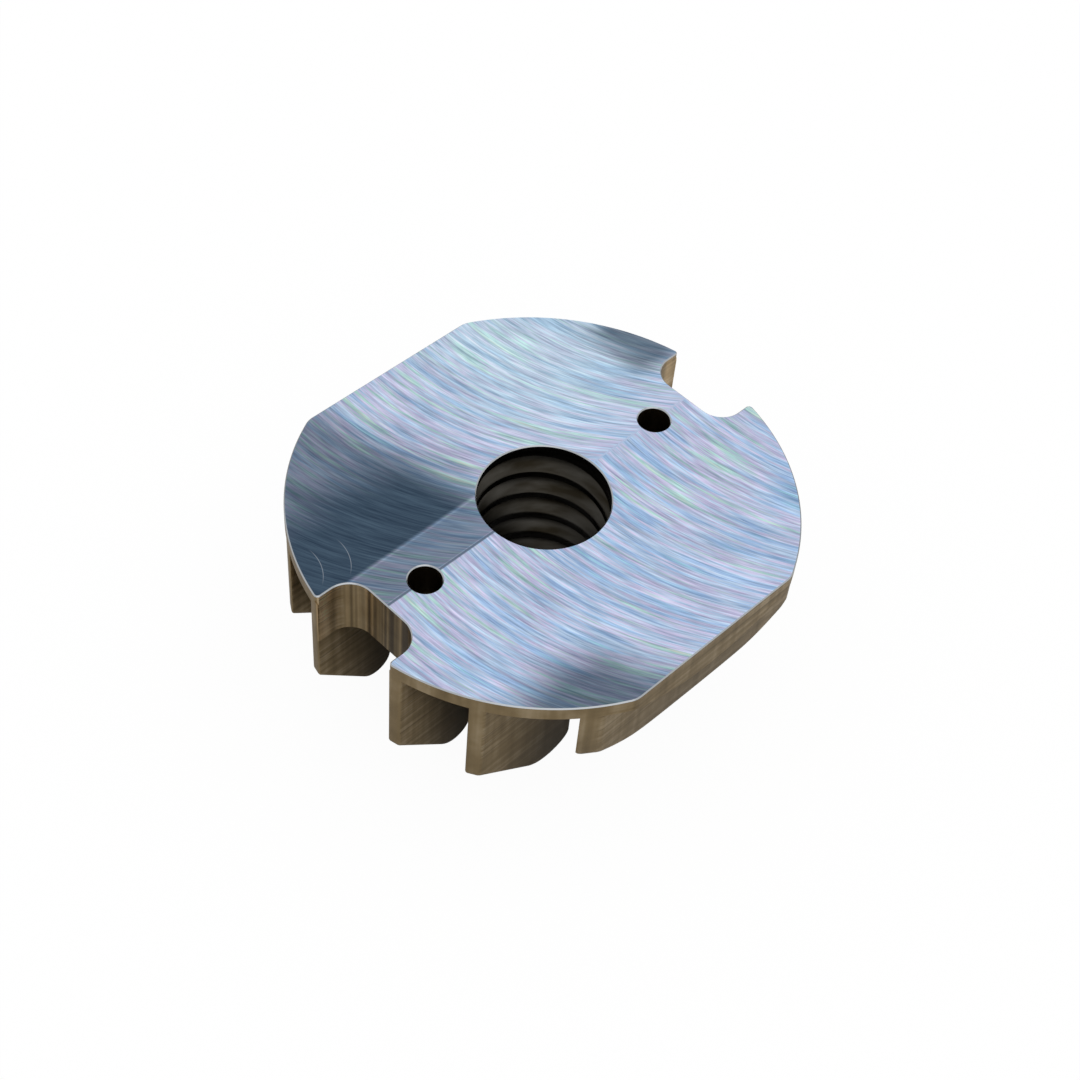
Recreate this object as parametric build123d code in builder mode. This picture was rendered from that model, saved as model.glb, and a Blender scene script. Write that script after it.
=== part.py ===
"""Machined mounting block: a round plate with two flats, a tapped hub and straight fins under it.

One piece of aluminium. Millimetres, +Z up. The origin is the centre of the bounding box's underside:
the block stands on its hub and on the toes of the inner fins. X runs across the flats, Y along the fins.
"""
import os
from math import sqrt

from build123d import *

os.makedirs("parts", exist_ok=True)

# Plate: a disc with two flats, as thick as its rim at the edge and coned at 45 degrees down to the hub
plate_diameter = 12.7
across_flats = 11.52
total_height = 4.65
rim_height = 0.4
flat_corner_radius = 0.6

# Hub and its tapped hole, an 8-32 thread: the bore is the thread's minor diameter
hub_diameter = 5.1
bore_diameter = 3.35
hub_chamfer = 0.15

# Two small plain holes on the Y axis
small_hole_diameter = 0.84
small_hole_spacing = 7.88

# Rim notches on the Y axis, outboard of the small holes. The web between the middle fins, which the
# notches are cut through, is thicker than the rim.
notch_width = 2.5
notch_floor_distance = 5.14
notch_corner_radius = 0.65
notch_mouth_radius = 0.1
web_thickness = 1.68

# Fins: three each side of the YZ plane, straight along Y, with their ends on the plate's cylinder
fin_thickness = 0.34
fin_pitch = 1.9
fin_corner_radius = 0.04

# Inner fins in a section through the axis: an outer wall, a 45 degree bevel and a round toe,
# which stands on the ground plane. Inside the toe is a round clearance about the hub.
clearance_diameter = 8.15
fin_toe_radius = 0.5
fin_heel_radius = 0.2

# The outermost fins are shallower: a wall, a 45 degree bevel and a flat foot, one full chord each side
outer_fin_wall_depth = 1.94
outer_fin_depth = 2.54
outer_bevel_radius = 1.2

# Break on every edge of the top face
edge_break = 0.05

# Derived values
plate_radius = plate_diameter / 2
hub_radius = hub_diameter / 2
clearance_radius = clearance_diameter / 2
rim_underside = total_height - rim_height
hub_shoulder = rim_underside - (plate_radius - hub_radius)
fin_root = total_height - rim_height / 2
toe_corner_height = -sqrt(2) * fin_toe_radius
fin_wall_end = toe_corner_height + plate_radius - clearance_radius
first_fin_centre = (notch_width + fin_thickness) / 2
inner_fin_centres = [first_fin_centre, first_fin_centre + fin_pitch]
outer_fin_centre = first_fin_centre + 2 * fin_pitch
outer_fin_wall_end = total_height - outer_fin_wall_depth
outer_fin_foot = total_height - outer_fin_depth
outer_toe_radius = plate_radius - (outer_fin_wall_end - outer_fin_foot)
outer_ring_radius = outer_fin_centre - fin_thickness
notch_length = plate_diameter
notch_centre = notch_floor_distance + notch_length / 2


# Inner fins: a turned ring with a bevel and a toe, kept only where the fins stand
with BuildPart() as inner_fins:
    with BuildSketch(Plane.XZ) as ring_section:
        toe = (clearance_radius, toe_corner_height)
        heel = (plate_radius, fin_wall_end)
        ring_top = (clearance_radius, fin_root - (plate_radius - clearance_radius))
        with BuildLine() as ring_outline:
            Polyline(toe, heel, (plate_radius, fin_root), ring_top, close=True)
        make_face()
        fillet(ring_section.vertices().sort_by_distance(toe)[0], fin_toe_radius)
        fillet(ring_section.vertices().sort_by_distance(heel)[0], fin_heel_radius)
    revolve(axis=Axis.Z)

    with BuildSketch(Plane.XY) as inner_fin_plan:
        with Locations(*[(side * centre, 0) for side in (-1, 1) for centre in inner_fin_centres]):
            Rectangle(fin_thickness, plate_diameter)
        Circle(plate_radius, mode=Mode.INTERSECT)
        fillet(inner_fin_plan.vertices(), fin_corner_radius)
    extrude(amount=total_height, mode=Mode.INTERSECT)

# Outer fins, made the same way from their own section
with BuildPart() as outer_fins:
    with BuildSketch(Plane.XZ) as outer_section:
        outer_toe = (outer_toe_radius, outer_fin_foot)
        outer_heel = (plate_radius, outer_fin_wall_end)
        outer_ring_top = (outer_ring_radius, fin_root - (plate_radius - outer_ring_radius))
        with BuildLine() as outer_outline:
            outer_foot = (outer_ring_radius, outer_fin_foot)
            Polyline(outer_foot, outer_toe, outer_heel, (plate_radius, fin_root), outer_ring_top, close=True)
        make_face()
        fillet(outer_section.vertices().sort_by_distance(outer_toe)[0], outer_bevel_radius)
        fillet(outer_section.vertices().sort_by_distance(outer_heel)[0], fin_heel_radius)
    revolve(axis=Axis.Z)

    with BuildSketch(Plane.XY) as outer_fin_plan:
        with Locations((-outer_fin_centre, 0), (outer_fin_centre, 0)):
            Rectangle(fin_thickness, plate_diameter)
        Circle(plate_radius, mode=Mode.INTERSECT)
        fillet(outer_fin_plan.vertices(), fin_corner_radius)
    extrude(amount=total_height, mode=Mode.INTERSECT)

# The block: plate, cone and hub turned in one, the web, then the plan outline, the fins and the edge break
with BuildPart() as block:
    with BuildSketch(Plane.XZ) as body_section:
        hub_foot = (hub_radius, 0)
        with BuildLine() as body_outline:
            Polyline(
                (0, 0),
                hub_foot,
                (hub_radius, hub_shoulder),
                (plate_radius, rim_underside),
                (plate_radius, total_height),
                (0, total_height),
                close=True,
            )
        make_face()
        chamfer(body_section.vertices().sort_by_distance(hub_foot)[0], hub_chamfer)
    revolve(axis=Axis.Z)

    with BuildSketch(Plane.XY.offset(total_height)) as web_plan:
        Rectangle(2 * first_fin_centre, plate_diameter)
        Circle(plate_radius - fin_thickness / 2, mode=Mode.INTERSECT)
    extrude(amount=-web_thickness)

    with BuildSketch(Plane.XY) as plan:
        Circle(plate_radius)
        Rectangle(across_flats, plate_diameter, mode=Mode.INTERSECT)
        fillet(plan.vertices(), flat_corner_radius)
        with BuildSketch(mode=Mode.PRIVATE) as notch:
            RectangleRounded(notch_width, notch_length, notch_corner_radius)
        with Locations((0, notch_centre), (0, -notch_centre)):
            add(notch.sketch, mode=Mode.SUBTRACT)
        mouth_corners = plan.vertices().filter_by(
            lambda corner: abs(abs(corner.X) - notch_width / 2) < edge_break
            and abs(corner.Y) > notch_floor_distance + notch_corner_radius + edge_break
        )
        fillet(mouth_corners, notch_mouth_radius)
        Circle(bore_diameter / 2, mode=Mode.SUBTRACT)
        with Locations((0, small_hole_spacing / 2), (0, -small_hole_spacing / 2)):
            Circle(small_hole_diameter / 2, mode=Mode.SUBTRACT)
    extrude(amount=total_height, mode=Mode.INTERSECT)
    chamfer(block.faces().sort_by(Axis.Z)[-1].edges(), edge_break)

    add(inner_fins.part)
    add(outer_fins.part)

block.part.label = "block"
export_step(block.part, "parts/block.step")
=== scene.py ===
from math import atan2, cos, pi, radians, sin, sqrt, tan, tau

import bmesh
import bpy
from mathutils import Matrix, Vector


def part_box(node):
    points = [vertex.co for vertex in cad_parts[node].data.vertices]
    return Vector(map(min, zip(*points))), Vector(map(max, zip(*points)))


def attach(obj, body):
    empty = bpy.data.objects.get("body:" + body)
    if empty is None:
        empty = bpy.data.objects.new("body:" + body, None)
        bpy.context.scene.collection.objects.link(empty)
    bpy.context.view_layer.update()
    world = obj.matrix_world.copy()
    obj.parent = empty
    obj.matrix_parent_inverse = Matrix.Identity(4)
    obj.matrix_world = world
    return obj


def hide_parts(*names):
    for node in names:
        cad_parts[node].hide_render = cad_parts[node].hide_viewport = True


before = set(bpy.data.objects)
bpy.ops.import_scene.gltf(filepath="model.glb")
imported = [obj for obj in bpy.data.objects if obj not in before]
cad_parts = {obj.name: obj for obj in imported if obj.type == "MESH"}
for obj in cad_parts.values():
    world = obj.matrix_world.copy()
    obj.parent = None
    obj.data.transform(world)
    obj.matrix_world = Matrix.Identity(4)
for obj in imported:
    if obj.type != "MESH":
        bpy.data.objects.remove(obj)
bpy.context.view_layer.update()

# ---------------------------------------------------------------- sizes
# Millimetres, as in the CAD unless a comment says otherwise
MM = 0.001
CAD_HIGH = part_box("block")[1]
TOP = CAD_HIGH[2] / MM
FLAT_X = CAD_HIGH[0] / MM
PLATE_R = 6.35
RIM_UNDERSIDE = TOP - 0.4
FLAT_CORNER_R = 0.6
HUB_R = 2.55
HUB_SHOULDER = RIM_UNDERSIDE - (PLATE_R - HUB_R)
HUB_CHAMFER = 0.15
BORE_R = 1.675
SMALL_HOLE_R = 0.42
SMALL_HOLE_Y = 3.94
NOTCH_HALF = 1.25
NOTCH_FLOOR = 5.14
NOTCH_R = 0.65
MOUTH_R = 0.1
WEB_THICKNESS = 1.68
FIN_T = 0.34
FIN_PITCH = 1.9
FIN_ROOT = TOP - 0.2
CLEARANCE_R = 4.075
TOE_R = 0.5
HEEL_R = 0.2
OUTER_WALL_END = TOP - 1.94
OUTER_FOOT = TOP - 2.54
OUTER_BEVEL_R = 1.2
EDGE_BREAK = 0.03       # narrower than the CAD's 0.05
FIN_EDGE_R = 0.07       # the CAD leaves these edges sharp
SEAM_GAP = 0.003        # keeps the fins' faces just off the plate's, so that the union is clean
SLIVER = 0.0001         # edges shorter than this are leftovers of the cuts

# 8-32 thread, which the CAD leaves out: pitch, depth, plain wall under the top, and height it fades in over
THREAD_PITCH = 0.794
THREAD_DEPTH = 0.43
THREAD_START = 0.12
THREAD_LEAD_IN = 0.3


# ---------------------------------------------------------------- mesh helpers
def mesh_object(name, points, faces):
    """A mesh object with its normals made consistent."""
    mesh = bpy.data.meshes.new(name)
    mesh.from_pydata([Vector(p) for p in points], [], faces)
    bm = bmesh.new()
    bm.from_mesh(mesh)
    bmesh.ops.recalc_face_normals(bm, faces=bm.faces)
    bm.to_mesh(mesh)
    bm.free()
    obj = bpy.data.objects.new(name, mesh)
    bpy.context.scene.collection.objects.link(obj)
    return obj


def stack(name, rings):
    """A solid skinned over rings that all have the same number of points."""
    count = len(rings[0])
    points = [p for ring in rings for p in ring]
    faces = []
    for i in range(len(rings) - 1):
        for j in range(count):
            k = (j + 1) % count
            faces.append((i * count + j, i * count + k, (i + 1) * count + k, (i + 1) * count + j))
    faces.append(tuple(range(count - 1, -1, -1)))
    faces.append(tuple((len(rings) - 1) * count + j for j in range(count)))
    return mesh_object(name, points, faces)


def lathe(name, profile, segments):
    """A solid of revolution about Z. The profile runs from the axis out and back to the axis."""
    points = [(0, 0, profile[0][1]), (0, 0, profile[-1][1])]
    inner = profile[1:-1]
    for j in range(segments):
        a = tau * j / segments
        points += [(r * cos(a), r * sin(a), z) for r, z in inner]
    n = len(inner)
    faces = []
    for j in range(segments):
        here, there = 2 + j * n, 2 + ((j + 1) % segments) * n
        faces.append((0, there, here))
        faces.append((1, here + n - 1, there + n - 1))
        for i in range(n - 1):
            faces.append((here + i, there + i, there + i + 1, here + i + 1))
    return mesh_object(name, points, faces)


def arc(cx, cy, r, start, end, steps):
    """Points on an arc, angles in degrees."""
    angles = [radians(start + (end - start) * i / steps) for i in range(steps + 1)]
    return [(cx + r * cos(a), cy + r * sin(a)) for a in angles]


def inset(outline, distance):
    """The closed outline moved to its left (inwards where it runs anticlockwise)."""
    moved = []
    for i, (x, y) in enumerate(outline):
        (ax, ay), (bx, by) = outline[i - 1], outline[(i + 1) % len(outline)]
        d1, d2 = Vector((x - ax, y - ay)).normalized(), Vector((bx - x, by - y)).normalized()
        n1, n2 = Vector((-d1.y, d1.x)), Vector((-d2.y, d2.x))
        n = (n1 + n2).normalized()
        n *= distance / max(n.dot(n1), 0.3)
        moved.append((x + n.x, y + n.y))
    return moved


def prism(name, outline, bottom, top, edge_break):
    """An upright prism whose top edge is broken at 45 degrees; a negative break flares a cutter."""
    levels = [(bottom, 0), (top - abs(edge_break), 0), (top, edge_break)]
    if edge_break < 0:
        levels.append((top + abs(edge_break), 2 * edge_break))
    return stack(name, [[(x, y, z) for x, y in inset(outline, d)] for z, d in levels])


def combine(target, tool, operation):
    """Apply a boolean between two solids and drop the tool."""
    modifier = target.modifiers.new("cut", "BOOLEAN")
    modifier.operation = operation
    modifier.solver = "EXACT"
    modifier.object = tool
    result = bpy.data.meshes.new_from_object(target.evaluated_get(bpy.context.evaluated_depsgraph_get()))
    target.modifiers.clear()
    target.data = result
    bpy.data.objects.remove(tool)


# ---------------------------------------------------------------- plate
def corner_fillet(corner, before, after, r, steps=6):
    """Points of a fillet at a corner between two straight lines."""
    c = Vector(corner)
    u, v = (Vector(before) - c).normalized(), (Vector(after) - c).normalized()
    half = u.angle(v) / 2
    centre = c + (u + v).normalized() * (r / sin(half))
    start, end = c + u * (r / tan(half)), c + v * (r / tan(half))
    a0, a1 = atan2(*(start - centre).yx), atan2(*(end - centre).yx)
    turn = (a1 - a0 + pi) % tau - pi
    return [
        (centre.x + r * cos(a0 + turn * i / steps), centre.y + r * sin(a0 + turn * i / steps))
        for i in range(steps + 1)
    ]


def plate_quarter():
    """The plate's outline from the +X axis to the +Y axis, anticlockwise."""
    flat_y = sqrt(PLATE_R**2 - FLAT_X**2)
    mouth_y = sqrt(PLATE_R**2 - NOTCH_HALF**2)
    points = [(FLAT_X, 0.0)]
    corner = Vector((FLAT_X, flat_y))
    tangent = Vector((-corner.y, corner.x))
    flat_fillet = corner_fillet(corner, corner - Vector((0, 1)), corner + tangent, FLAT_CORNER_R)
    points += flat_fillet
    mouth = Vector((NOTCH_HALF, mouth_y))
    tangent = Vector((mouth.y, -mouth.x))
    mouth_fillet = corner_fillet(mouth, mouth + tangent, mouth - Vector((0, 1)), MOUTH_R, 4)
    start = atan2(*reversed(flat_fillet[-1]))
    end = atan2(*reversed(mouth_fillet[0]))
    steps = 56
    for i in range(1, steps):
        a = start + (end - start) * i / steps
        points.append((PLATE_R * cos(a), PLATE_R * sin(a)))
    points += mouth_fillet
    points += arc(NOTCH_HALF - NOTCH_R, NOTCH_FLOOR + NOTCH_R, NOTCH_R, 0, -90, 12)
    return points


quarter = plate_quarter()
second = [(-x, y) for x, y in reversed(quarter)]
third = [(-x, -y) for x, y in quarter]
fourth = [(x, -y) for x, y in reversed(quarter)]
outline = []
for part in (quarter, second, third, fourth):
    for point in part:
        if not outline or (Vector(point) - Vector(outline[-1])).length > 1e-4:
            outline.append(point)
if (Vector(outline[0]) - Vector(outline[-1])).length < 1e-4:
    outline.pop()

OVER = 0.4              # how far the turned body runs past the plan that cuts it
block = lathe(
    "block_visual",
    [
        (0, 0),
        (HUB_R - HUB_CHAMFER, 0),
        (HUB_R, HUB_CHAMFER),
        (HUB_R, HUB_SHOULDER),
        (PLATE_R + OVER, RIM_UNDERSIDE + OVER),
        (PLATE_R + OVER, TOP + OVER),
        (0, TOP + OVER),
    ],
    256,
)
web_half = NOTCH_HALF + FIN_T / 2
web_end = PLATE_R - FIN_T / 2
web_outline = [(-web_half, -web_end), (web_half, -web_end), (web_half, web_end), (-web_half, web_end)]
combine(block, prism("web", web_outline, TOP - WEB_THICKNESS, TOP + OVER / 2, 0.01), "UNION")
combine(block, prism("plan", outline, -OVER, TOP, EDGE_BREAK), "INTERSECT")

for side in (-1, 1):
    hole = arc(0, side * SMALL_HOLE_Y, SMALL_HOLE_R, 0, 352.5, 47)
    combine(block, prism("hole", hole, -OVER, TOP, -EDGE_BREAK), "DIFFERENCE")


# ---------------------------------------------------------------- threaded bore
def thread_cutter():
    """A right-hand 60 degree thread as a height field whose rows follow the helix."""
    columns = 144
    # depth of the groove through one pitch: crest, flank, root, flank
    profile = [(0.0, 0.0), (0.24, 0.0), (0.29, 0.08), (0.54, 0.92)]
    profile += [(0.58, 1.0), (0.68, 1.0), (0.72, 0.92), (0.96, 0.08)]
    turns = int((TOP + 3 * THREAD_PITCH) / THREAD_PITCH) + 1
    rows = [(turn + phase, depth) for turn in range(turns) for phase, depth in profile]
    points, faces = [], []
    for place, depth in rows:
        for j in range(columns):
            z = (place + j / columns - 2) * THREAD_PITCH
            fade = min(max((TOP - THREAD_START - z) / THREAD_LEAD_IN, 0), 1)
            r = BORE_R + THREAD_DEPTH * depth * fade
            points.append((r * cos(tau * j / columns), r * sin(tau * j / columns), z))
    step, last = len(profile), len(rows) - 1

    def index(i, j):
        return i * columns + j if j < columns else (i + step) * columns

    for i in range(last):
        for j in range(columns):
            if j < columns - 1 or i + step < last:
                faces.append((index(i, j), index(i, j + 1), index(i + 1, j + 1), index(i + 1, j)))
    foot = [index(0, j) for j in range(columns)] + [index(i, 0) for i in range(step, 0, -1)]
    head = [index(last, j) for j in range(columns)]
    head += [index(last - i, columns - 1) for i in range(1, step + 1)]
    for loop, z in ((foot, -4 * THREAD_PITCH), (head, TOP + 4 * THREAD_PITCH)):
        points.append((0, 0, z))
        faces += [(len(points) - 1, loop[k], loop[(k + 1) % len(loop)]) for k in range(len(loop))]
    return mesh_object("thread", points, faces)


combine(block, thread_cutter(), "DIFFERENCE")
mouth = arc(0, 0, BORE_R, 0, 357.5, 143)
combine(block, prism("mouth", mouth, TOP - 0.1, TOP, -EDGE_BREAK), "DIFFERENCE")


# ---------------------------------------------------------------- fins
def inner_section():
    """Inner fin outline as (radius, height): outer wall, heel, bevel, toe and inner wall."""
    toe_z = -sqrt(2) * TOE_R
    heel_z = toe_z + PLATE_R - CLEARANCE_R
    down = (PLATE_R, FIN_ROOT)
    heel = corner_fillet((PLATE_R, heel_z), down, (CLEARANCE_R, toe_z), HEEL_R)
    toe = corner_fillet((CLEARANCE_R, toe_z), (PLATE_R, heel_z), (CLEARANCE_R, FIN_ROOT), TOE_R, 14)
    inner_root = (CLEARANCE_R, FIN_ROOT - (PLATE_R - CLEARANCE_R))
    return [inner_root, down] + heel + toe


def rounded_slices(x0, x1):
    """Cuts across a fin's thickness with how far each is drawn in, which rounds the long edges."""
    r = FIN_EDGE_R
    steps = (0, 30, 60, 90)
    ends = [(r - r * sin(radians(a)), r - r * cos(radians(a))) for a in steps]
    first = [(x0 + back, drawn) for drawn, back in ends]
    last = [(x1 - back, drawn) for drawn, back in reversed(ends)]
    return first + last


def inner_fin(centre, side):
    x0, x1 = centre - FIN_T / 2 + SEAM_GAP, centre + FIN_T / 2 - SEAM_GAP
    section = inner_section()
    rings = []
    for x, drawn in rounded_slices(x0, x1):
        ring = []
        for r, z in inset(section[::-1], drawn):
            ring.append((x, side * sqrt((r - SEAM_GAP) ** 2 - x**2), z))
        rings.append(ring)
    return stack("fin", rings)


def outer_fin(centre):
    x0, x1 = centre - FIN_T / 2 + SEAM_GAP, centre + FIN_T / 2 - SEAM_GAP
    steps = 64
    rings = []
    for x, drawn in rounded_slices(x0, x1):
        end = sqrt((PLATE_R - SEAM_GAP) ** 2 - x**2) - drawn
        ring = []
        for i in range(steps + 1):
            y = end * cos(pi * i / steps)
            slope = OUTER_WALL_END - (PLATE_R - sqrt(x**2 + y**2))
            gap = slope - OUTER_FOOT
            # rounds the corner of bevel and foot about as the CAD's arc does
            blend = OUTER_BEVEL_R / 6
            foot = OUTER_FOOT + (gap + sqrt(gap**2 + blend**2)) / 2
            heel = HEEL_R * max(0, 1 - (end - abs(y)) / HEEL_R) ** 2 / 2
            ring.append((x, y, foot + heel + drawn))
        # the head of the fin ends inside the plate
        ring.append((x, -end, FIN_ROOT))
        ring.append((x, end, FIN_ROOT))
        rings.append(ring)
    return stack("fin", rings)


first_centre = NOTCH_HALF + FIN_T / 2
for sign in (-1, 1):
    for centre in (first_centre, first_centre + FIN_PITCH):
        for side in (-1, 1):
            combine(block, inner_fin(sign * centre, side), "UNION")
    combine(block, outer_fin(sign * (first_centre + 2 * FIN_PITCH)), "UNION")

# The solids are cut and joined in millimetres, where the solver is dependable, and only then scaled
cleaned = bmesh.new()
cleaned.from_mesh(block.data)
bmesh.ops.dissolve_degenerate(cleaned, dist=SLIVER, edges=cleaned.edges)
cleaned.to_mesh(block.data)
cleaned.free()
block.data.transform(Matrix.Scale(MM, 4))

# ---------------------------------------------------------------- materials
PALE = (0.45, 0.6, 0.75, 1)


class Nodes:
    """Short names for building a node tree."""

    def __init__(self, name):
        self.material = bpy.data.materials.new(name)
        self.material.use_nodes = True
        self.tree = self.material.node_tree
        self.shader = next(n for n in self.tree.nodes if n.type == "BSDF_PRINCIPLED")

    def add(self, kind, **values):
        node = self.tree.nodes.new(kind)
        for key, value in values.items():
            setattr(node, key, value)
        return node

    def link(self, source, target):
        self.tree.links.new(source, target)

    def math(self, operation, a, b=None, clamp=False):
        node = self.add("ShaderNodeMath", operation=operation, use_clamp=clamp)
        for socket, value in zip(node.inputs, (a, b)):
            if value is None:
                continue
            if isinstance(value, (int, float)):
                socket.default_value = value
            else:
                self.link(value, socket)
        return node.outputs[0]

    def smooth(self, value, low, high):
        """0 below low and 1 above high, smooth between; falls instead where low is above high."""
        node = self.add("ShaderNodeMapRange", interpolation_type="SMOOTHSTEP")
        if low > high:
            node.inputs["From Min"].default_value, node.inputs["From Max"].default_value = high, low
            node.inputs["To Min"].default_value, node.inputs["To Max"].default_value = 1, 0
        else:
            node.inputs["From Min"].default_value, node.inputs["From Max"].default_value = low, high
        self.link(value, node.inputs["Value"])
        return node.outputs["Result"]

    def mix(self, factor, a, b, blend_type="MIX"):
        node = self.add("ShaderNodeMix", data_type="RGBA", blend_type=blend_type)
        for socket, value in ((node.inputs[0], factor), (node.inputs[6], a), (node.inputs[7], b)):
            if isinstance(value, (int, float, tuple)):
                socket.default_value = value
            else:
                self.link(value, socket)
        return node.outputs[2]

    def ramp(self, value, stops):
        node = self.add("ShaderNodeValToRGB")
        elements = node.color_ramp.elements
        while len(elements) < len(stops):
            elements.new(0.5)
        for element, (place, colour) in zip(elements, stops):
            element.position = place
            element.color = colour
        self.link(value, node.inputs[0])
        return node.outputs[0]

    def noise(self, vector, scale, detail=2.0, rough=0.5):
        node = self.add("ShaderNodeTexNoise")
        node.inputs["Scale"].default_value = scale
        node.inputs["Detail"].default_value = detail
        node.inputs["Roughness"].default_value = rough
        self.link(vector, node.inputs["Vector"])
        return node.outputs["Fac"]

    def combine(self, x, y, z):
        node = self.add("ShaderNodeCombineXYZ")
        for socket, value in zip(node.inputs, (x, y, z)):
            if isinstance(value, (int, float)):
                socket.default_value = value
            else:
                self.link(value, socket)
        return node.outputs[0]

    def stretched(self, coordinates, factors):
        """A vector of the coordinates, each times its factor."""
        return self.combine(*(self.math("MULTIPLY", c, k) for c, k in zip(coordinates, factors)))

    def position(self):
        """Object position in plate radii."""
        coords = self.add("ShaderNodeTexCoord")
        scale = self.add("ShaderNodeVectorMath", operation="SCALE")
        scale.inputs["Scale"].default_value = 1 / (PLATE_R * MM)
        self.link(coords.outputs["Object"], scale.inputs[0])
        split = self.add("ShaderNodeSeparateXYZ")
        self.link(scale.outputs[0], split.inputs[0])
        return scale.outputs[0], split.outputs[0], split.outputs[1], split.outputs[2]


def milled_face():
    """The face-milled top: two passes of fine arcs that meet on the YZ plane, faintly iridescent."""
    n = Nodes("milled face")
    place, x, y, _ = n.position()

    def swept(centre_x, radius):
        """Distance across the arcs that a cutter of this radius leaves as it moves along Y."""
        off = n.math("SUBTRACT", x, centre_x)
        inside = n.math("SUBTRACT", radius**2, n.math("MULTIPLY", off, off))
        return n.math("ADD", y, n.math("SQRT", n.math("MAXIMUM", inside, 0.001)))

    right_pass = swept(0.15, 1.4)
    left_pass = n.math("ADD", swept(-0.85, 1.25), 7.3)
    is_right = n.smooth(x, -0.004, 0.004)
    across = n.math(
        "ADD",
        n.math("MULTIPLY", right_pass, is_right),
        n.math("MULTIPLY", left_pass, n.math("SUBTRACT", 1, is_right)),
    )

    def streaks(fine, along, detail=3.0):
        vector = n.combine(n.math("MULTIPLY", across, fine), n.math("MULTIPLY", x, along), 0.0)
        return n.noise(vector, 1.0, detail, 0.6)

    fine = streaks(130, 7)
    middle = streaks(42, 2.2)
    broad = streaks(7, 0.9, 2.0)
    hue = streaks(34, 2.0)
    drift = n.noise(place, 2.2, 2.0)
    tint = n.ramp(
        n.math("ADD", n.math("MULTIPLY", hue, 0.75), n.math("MULTIPLY", drift, 0.25)),
        [
            (0.30, (0.30, 0.72, 0.76, 1)),
            (0.40, (0.28, 0.44, 0.80, 1)),
            (0.47, (0.48, 0.62, 0.82, 1)),
            (0.53, (0.66, 0.50, 0.78, 1)),
            (0.60, (0.40, 0.74, 0.62, 1)),
            (0.70, (0.80, 0.74, 0.52, 1)),
        ],
    )
    colour = n.mix(0.6, PALE, tint)
    # the back left reads a little lighter and greener than the rest
    back_left = n.math("MULTIPLY", n.smooth(x, 0.1, -0.5), n.smooth(y, -0.2, 0.5))
    colour = n.mix(n.math("MULTIPLY", back_left, 0.4), colour, (0.60, 0.84, 0.93, 1))
    lightness = n.math("ADD", n.math("MULTIPLY", fine, 0.5), n.math("MULTIPLY", middle, 0.5))
    low, middle_tone, high = (0.55, 0.58, 0.64, 1), (0.95, 0.95, 0.96, 1), (1.4, 1.36, 1.3, 1)
    grain = n.ramp(lightness, [(0.36, low), (0.5, middle_tone), (0.64, high)])
    colour = n.mix(1.0, colour, grain, "MULTIPLY")

    # painted reflections: dark blue-grey patches over most of the left pass's front, a strip beside the
    # seam, and two corners; a thin dark line also runs along the seam itself
    wander = n.math("MULTIPLY", n.math("SUBTRACT", broad, 0.5), 0.2)
    xs, ys = n.math("ADD", x, wander), n.math("ADD", y, wander)
    slope = n.math("ADD", ys, n.math("MULTIPLY", x, -0.25))
    left_painted_reflection = n.math("MULTIPLY", n.smooth(x, -0.15, -0.19), n.smooth(slope, 0.06, -0.3))
    fuller = n.math("ADD", 0.72, n.math("MULTIPLY", n.smooth(xs, -0.75, -0.4), 0.28))
    left_painted_reflection = n.math("MULTIPLY", left_painted_reflection, fuller)
    band = n.math("MULTIPLY", n.smooth(x, 0.0, -0.01), n.smooth(x, -0.2, -0.16))
    band = n.math("MULTIPLY", n.math("MULTIPLY", band, n.smooth(ys, 0.1, -0.35)), 0.7)
    diagonal = n.math("SUBTRACT", n.math("MULTIPLY", xs, 0.45), ys)
    front = n.math("MULTIPLY", n.smooth(diagonal, 0.52, 0.8), 0.82)
    front = n.math("MULTIPLY", n.smooth(xs, 0.5, 0.74), front)
    back = n.math("MULTIPLY", n.smooth(xs, -0.12, -0.26), n.smooth(xs, -0.62, -0.46))
    back = n.math("MULTIPLY", n.math("MULTIPLY", back, n.smooth(ys, 0.68, 0.86)), 0.8)
    seam = n.math("MULTIPLY", n.smooth(n.math("ABSOLUTE", x), 0.009, 0.003), n.smooth(y, 0.0, -0.3))
    painted_reflection_and_seam = n.math("MAXIMUM", n.math("MAXIMUM", left_painted_reflection, band), n.math("MAXIMUM", front, back))
    painted_reflection_and_seam = n.math("MAXIMUM", painted_reflection_and_seam, n.math("MULTIPLY", seam, 0.8))
    # dark blue-grey colour of the painted reflections and of the seam line
    deep = n.mix(1.0, (0.05, 0.083, 0.125, 1), grain, "MULTIPLY")
    colour = n.mix(painted_reflection_and_seam, colour, deep)

    # two hairline scratches near the front notch: thin arcs about their own centres
    for centre_x, centre_y, radius in ((-0.35, -0.93, 0.19), (-0.38, -1.04, 0.19)):
        dx, dy = n.math("SUBTRACT", x, centre_x), n.math("SUBTRACT", y, centre_y)
        reach = n.math("SQRT", n.math("ADD", n.math("MULTIPLY", dx, dx), n.math("MULTIPLY", dy, dy)))
        line = n.smooth(n.math("ABSOLUTE", n.math("SUBTRACT", reach, radius)), 0.0022, 0.0004)
        part = n.math("MULTIPLY", n.smooth(dy, 0.11, 0.16), n.smooth(dx, -0.02, 0.04))
        colour = n.mix(n.math("MULTIPLY", n.math("MULTIPLY", line, part), 0.4), colour, (0.5, 0.54, 0.6, 1))
    n.link(colour, n.shader.inputs["Base Color"])

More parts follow.
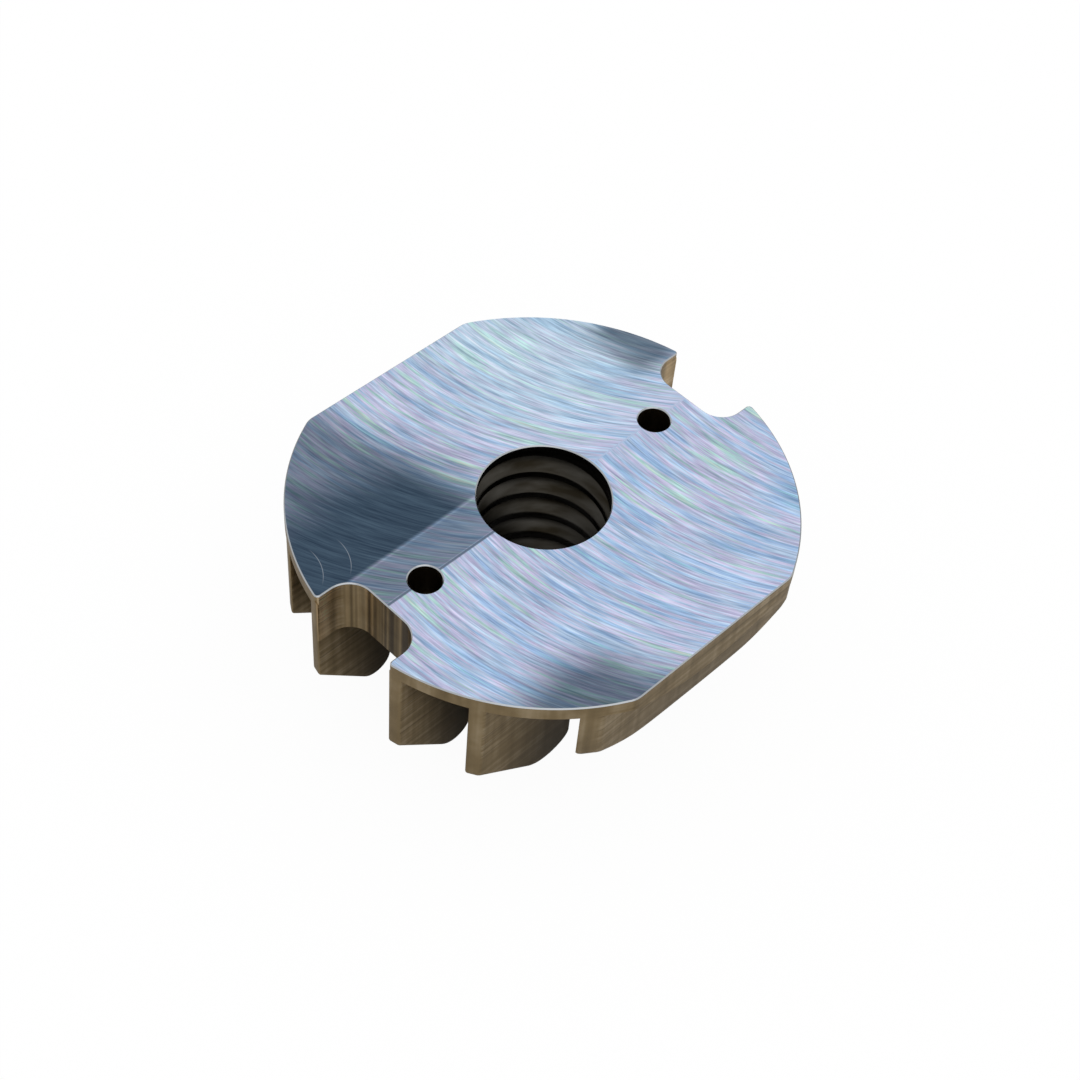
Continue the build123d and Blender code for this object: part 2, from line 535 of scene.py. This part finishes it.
    rough = n.add("ShaderNodeMapRange")
    rough.inputs["To Min"].default_value, rough.inputs["To Max"].default_value = 0.22, 0.42
    n.link(fine, rough.inputs["Value"])
    n.link(rough.outputs["Result"], n.shader.inputs["Roughness"])
    bump = n.add("ShaderNodeBump")
    bump.inputs["Strength"].default_value = 0.25
    bump.inputs["Distance"].default_value = 0.00001
    n.link(fine, bump.inputs["Height"])
    n.link(bump.outputs[0], n.shader.inputs["Normal"])
    n.shader.inputs["Metallic"].default_value = 1.0
    return n.material


def cut_wall():
    """Side walls and fins: warm metal with straight tool marks along Y and upright ones at the rim."""
    n = Nodes("cut wall")
    place, x, y, z = n.position()
    marks = n.noise(n.stretched((x, y, z), (3, 1.5, 55)), 1.0, 3.0)
    upright = n.noise(n.stretched((x, y, z), (26, 26, 1.0)), 1.0, 2.0)
    blotch = n.noise(place, 9.0, 3.0)
    # the straight marks lie only on the faces that look along X
    facing = n.add("ShaderNodeSeparateXYZ")
    n.link(n.add("ShaderNodeTexCoord").outputs["Normal"], facing.inputs[0])
    on_side = n.smooth(n.math("ABSOLUTE", facing.outputs[0]), 0.8, 0.97)
    elsewhere = n.math("MULTIPLY", 0.5, n.math("SUBTRACT", 1, on_side))
    even = n.math("ADD", n.math("MULTIPLY", marks, on_side), elsewhere)
    blend = n.math("ADD", n.math("MULTIPLY", even, 0.4), n.math("MULTIPLY", upright, 0.3))
    blend = n.math("ADD", blend, n.math("MULTIPLY", blotch, 0.3))
    low, middle_tone, high = (0.25, 0.18, 0.09, 1), (0.38, 0.28, 0.15, 1), (0.58, 0.46, 0.29, 1)
    colour = n.ramp(blend, [(0.36, low), (0.5, middle_tone), (0.64, high)])
    # the notches keep upright light and dark stripes from the end mill
    in_notch = n.smooth(n.math("ABSOLUTE", x), 0.205, 0.199)
    in_notch = n.math("MULTIPLY", in_notch, n.smooth(n.math("ABSOLUTE", y), 0.78, 0.8))
    in_notch = n.math("MULTIPLY", in_notch, n.smooth(z, 0.46, 0.47))
    stripes = n.noise(n.combine(n.math("MULTIPLY", x, 34), n.math("MULTIPLY", y, 12), 0.0), 1.0, 2.0)
    striped = n.ramp(stripes, [(0.38, (0.3, 0.3, 0.34, 1)), (0.5, (1, 1, 1, 1)), (0.62, (1.9, 1.9, 2.0, 1))])
    colour = n.mix(in_notch, colour, n.mix(1.0, colour, striped, "MULTIPLY"))
    # and the faces of the fins long straight scores
    scores = n.noise(n.stretched((x, y, z), (2, 0.6, 110)), 1.0, 1.0)
    scored = n.math("MULTIPLY", n.math("MULTIPLY", n.smooth(scores, 0.62, 0.74), on_side), 0.45)
    colour = n.mix(scored, colour, (0.08, 0.06, 0.034, 1))
    # painted shade: the colour is darkened deep between the fins
    radius = n.math("SQRT", n.math("ADD", n.math("MULTIPLY", x, x), n.math("MULTIPLY", y, y)))
    deep = n.math("SUBTRACT", 1, n.smooth(radius, 0.66, 0.96))
    colour = n.mix(n.math("MULTIPLY", deep, 0.8), colour, (0.05, 0.036, 0.018, 1))
    n.link(colour, n.shader.inputs["Base Color"])
    bump = n.add("ShaderNodeBump")
    bump.inputs["Strength"].default_value = 0.3
    bump.inputs["Distance"].default_value = 0.00001
    n.link(marks, bump.inputs["Height"])
    n.link(bump.outputs[0], n.shader.inputs["Normal"])
    n.shader.inputs["Roughness"].default_value = 0.36
    n.shader.inputs["Metallic"].default_value = 1.0
    return n.material


def plain(name, colour, roughness):
    n = Nodes(name)
    n.shader.inputs["Base Color"].default_value = colour
    n.shader.inputs["Roughness"].default_value = roughness
    n.shader.inputs["Metallic"].default_value = 1.0
    return n.material


def bore_wall():
    """The tapped hole: painted shade, a near-black colour with uneven lighter and darker bands along its
    depth.
    """
    n = Nodes("bore wall")
    _, x, y, z = n.position()
    depth_bands = n.noise(n.stretched((x, y, z), (4, 4, 30)), 1.0, 3.0)
    # painted shade: the hole's walls are coloured near black, in uneven bands along the depth
    colour = n.ramp(depth_bands, [(0.35, (0.018, 0.015, 0.01, 1)), (0.65, (0.055, 0.052, 0.046, 1))])
    n.link(colour, n.shader.inputs["Base Color"])
    n.shader.inputs["Roughness"].default_value = 0.3
    n.shader.inputs["Metallic"].default_value = 1.0
    return n.material


block.data.materials.clear()
for material in (milled_face(), cut_wall(), plain("broken edge", (0.42, 0.44, 0.46, 1), 0.22), bore_wall()):
    block.data.materials.append(material)
MILLED, WALL, EDGE, BORE = range(4)

for polygon in block.data.polygons:
    centre = polygon.center / MM
    radius = centre.xy.length
    polygon.use_smooth = True
    if polygon.normal.z > 0.999 and centre.z > TOP - 1e-3:
        polygon.material_index = MILLED
    elif centre.z > TOP - EDGE_BREAK and polygon.normal.z > 0.5:
        polygon.material_index = EDGE
    elif radius < BORE_R + THREAD_DEPTH + 0.02 and abs(polygon.normal.z) < 0.98:
        polygon.material_index = BORE
    else:
        polygon.material_index = WALL
block.data.set_sharp_from_angle(angle=radians(28))

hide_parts("block")
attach(block, "root")

# ---------------------------------------------------------------- stage: floor, light and camera
floor_mesh = bpy.data.meshes.new("floor")
FLOOR = 0.6             # half its side, in metres
corners = [(x * FLOOR, y * FLOOR, 0) for x, y in ((-1, -1), (1, -1), (1, 1), (-1, 1))]
floor_mesh.from_pydata(corners, [], [(0, 1, 2, 3)])
floor = bpy.data.objects.new("floor", floor_mesh)
floor.location.z = -0.00002
bpy.context.scene.collection.objects.link(floor)
f = Nodes("floor")
f.shader.inputs["Base Color"].default_value = (0.42, 0.42, 0.42, 1)
f.shader.inputs["Roughness"].default_value = 0.9
white = f.add("ShaderNodeEmission")
white.inputs["Color"].default_value = (1, 1, 1, 1)
white.inputs["Strength"].default_value = 1.06
blend = f.add("ShaderNodeMixShader")
path = f.add("ShaderNodeLightPath")
seen = f.math("MULTIPLY", path.outputs["Is Camera Ray"], 0.9)
output = next(node for node in f.tree.nodes if node.type == "OUTPUT_MATERIAL")
f.link(seen, blend.inputs[0])
f.link(f.shader.outputs[0], blend.inputs[1])
f.link(white.outputs[0], blend.inputs[2])
# open from below, so that the underside can be looked at
geometry = f.add("ShaderNodeNewGeometry")
clear = f.add("ShaderNodeBsdfTransparent")
one_sided = f.add("ShaderNodeMixShader")
f.link(geometry.outputs["Backfacing"], one_sided.inputs[0])
f.link(blend.outputs[0], one_sided.inputs[1])
f.link(clear.outputs[0], one_sided.inputs[2])
f.link(one_sided.outputs[0], output.inputs["Surface"])
floor_mesh.materials.append(f.material)

world = bpy.data.worlds.new("studio")
bpy.context.scene.world = world
world.use_nodes = True
background = world.node_tree.nodes["Background"]
background.inputs["Color"].default_value = (1, 1, 1, 1)
background.inputs["Strength"].default_value = 0.9


def sun(name, azimuth, elevation, strength, spread):
    lamp = bpy.data.lights.new(name, "SUN")
    lamp.energy = strength
    lamp.angle = radians(spread)
    obj = bpy.data.objects.new(name, lamp)
    obj.rotation_euler = (radians(90 - elevation), 0, radians(azimuth))
    bpy.context.scene.collection.objects.link(obj)
    return obj


sun("key", 150, 55, 0.35, 50)
sun("fill", 60, 35, 0.3, 60)

# Camera, placed in plate radii from the centre of the top face
AZIMUTH, ELEVATION, ROLL = radians(41.28), radians(49.96), radians(5.647)
DISTANCE = 7.314
TARGET = (0.147, -0.167, 0.0)
LENS = 64.3
unit = PLATE_R * MM
direction = Vector((sin(AZIMUTH) * cos(ELEVATION), -cos(AZIMUTH) * cos(ELEVATION), sin(ELEVATION)))
eye = (Vector(TARGET) + direction * DISTANCE) * unit + Vector((0, 0, TOP * MM))
right = (-direction).cross(Vector((0, 0, 1))).normalized()
up = right.cross(-direction)
tilted_right = right * cos(ROLL) + up * sin(ROLL)
tilted_up = up * cos(ROLL) - right * sin(ROLL)
camera = bpy.data.objects.new("camera", bpy.data.cameras.new("camera"))
bpy.context.scene.collection.objects.link(camera)
camera.data.lens = LENS
camera.data.sensor_width = 36
camera.data.clip_start = 0.001
rotation = Matrix((tilted_right, tilted_up, direction)).transposed().to_4x4()
camera.matrix_world = Matrix.Translation(eye) @ rotation
bpy.context.scene.camera = camera

bpy.context.scene.view_settings.view_transform = "Standard"
